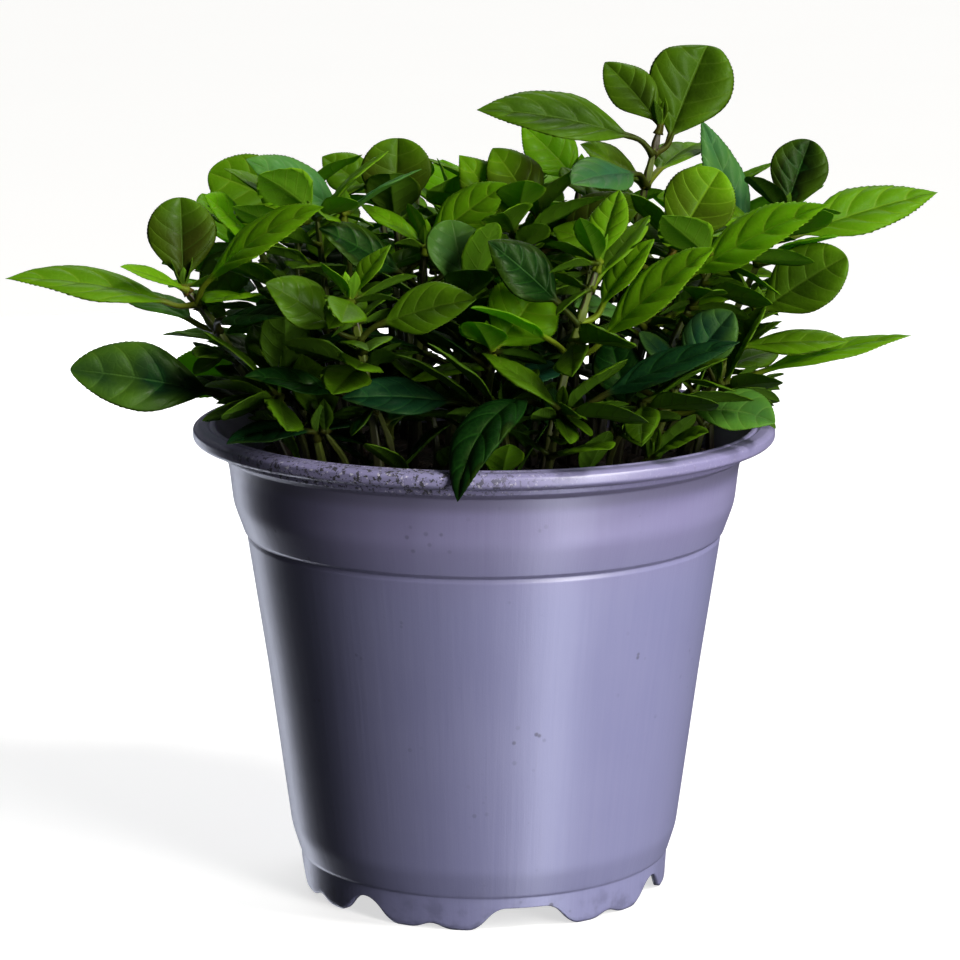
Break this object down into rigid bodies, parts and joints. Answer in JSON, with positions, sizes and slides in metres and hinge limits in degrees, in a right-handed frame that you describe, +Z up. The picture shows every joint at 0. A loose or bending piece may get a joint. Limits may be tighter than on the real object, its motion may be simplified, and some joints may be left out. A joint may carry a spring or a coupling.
{
  "type": "potted mint",
  "caption": "Mint plant with square stems and opposite serrate leaves, growing in a tapered round nursery pot with a rolled rim and a notched foot.",
  "frame": {"origin": "on the pot's axis, in the plane that its foot stands on", "axes": "+Z up along the pot's axis, -Y towards the front of the plant, +X to its right"},
  "size_m": [0.2045, 0.1379, 0.1888],
  "materials": {
    "pot": "satin",
    "mix": "matte",
    "stem": "satin",
    "leaf": "satin"
  },
  "bodies": {
    "root": {"leaf_pair_01_1": "leaf", "leaf_pair_01_2": "leaf", "leaf_pair_01_3": "leaf", "leaf_pair_02_1": "leaf", "leaf_pair_02_2": "leaf", "leaf_pair_02_3": "leaf", "leaf_pair_03_1": "leaf", "leaf_pair_03_2": "leaf", "leaf_pair_04_1": "leaf", "leaf_pair_04_2": "leaf", "leaf_pair_05_1": "leaf", "leaf_pair_06_1": "leaf", "leaf_pair_06_2": "leaf", "leaf_pair_07_1": "leaf", "leaf_pair_07_2": "leaf", "leaf_pair_08_1": "leaf", "leaf_pair_09_1": "leaf", "leaf_pair_11_1": "leaf", "leaf_pair_12_1": "leaf", "leaf_pair_13_1": "leaf", "leaf_pair_14_1": "leaf", "leaf_pair_15_1": "leaf", "leaf_pair_17_1": "leaf", "leaf_pair_18_1": "leaf", "leaf_pair_18_2": "leaf", "leaf_pair_19_1": "leaf", "leaf_pair_20_1": "leaf", "leaf_pair_20_2": "leaf", "leaf_pair_22_1": "leaf", "leaf_pair_22_2": "leaf", "leaf_pair_23_1": "leaf", "leaf_pair_23_2": "leaf", "leaf_pair_24_1": "leaf", "leaf_pair_24_2": "leaf", "pot": "pot", "potting_mix": "mix", "stem_01": "stem", "stem_02": "stem", "stem_03": "stem", "stem_04": "stem", "stem_05": "stem", "stem_06": "stem", "stem_07": "stem", "stem_08": "stem", "stem_09": "stem", "stem_10": "stem", "stem_11": "stem", "stem_12": "stem", "stem_13": "stem", "stem_14": "stem", "stem_15": "stem", "stem_16": "stem", "stem_17": "stem", "stem_18": "stem", "stem_19": "stem", "stem_20": "stem", "stem_21": "stem", "stem_22": "stem", "stem_23": "stem", "stem_24": "stem"}
  },
  "joints": []
}
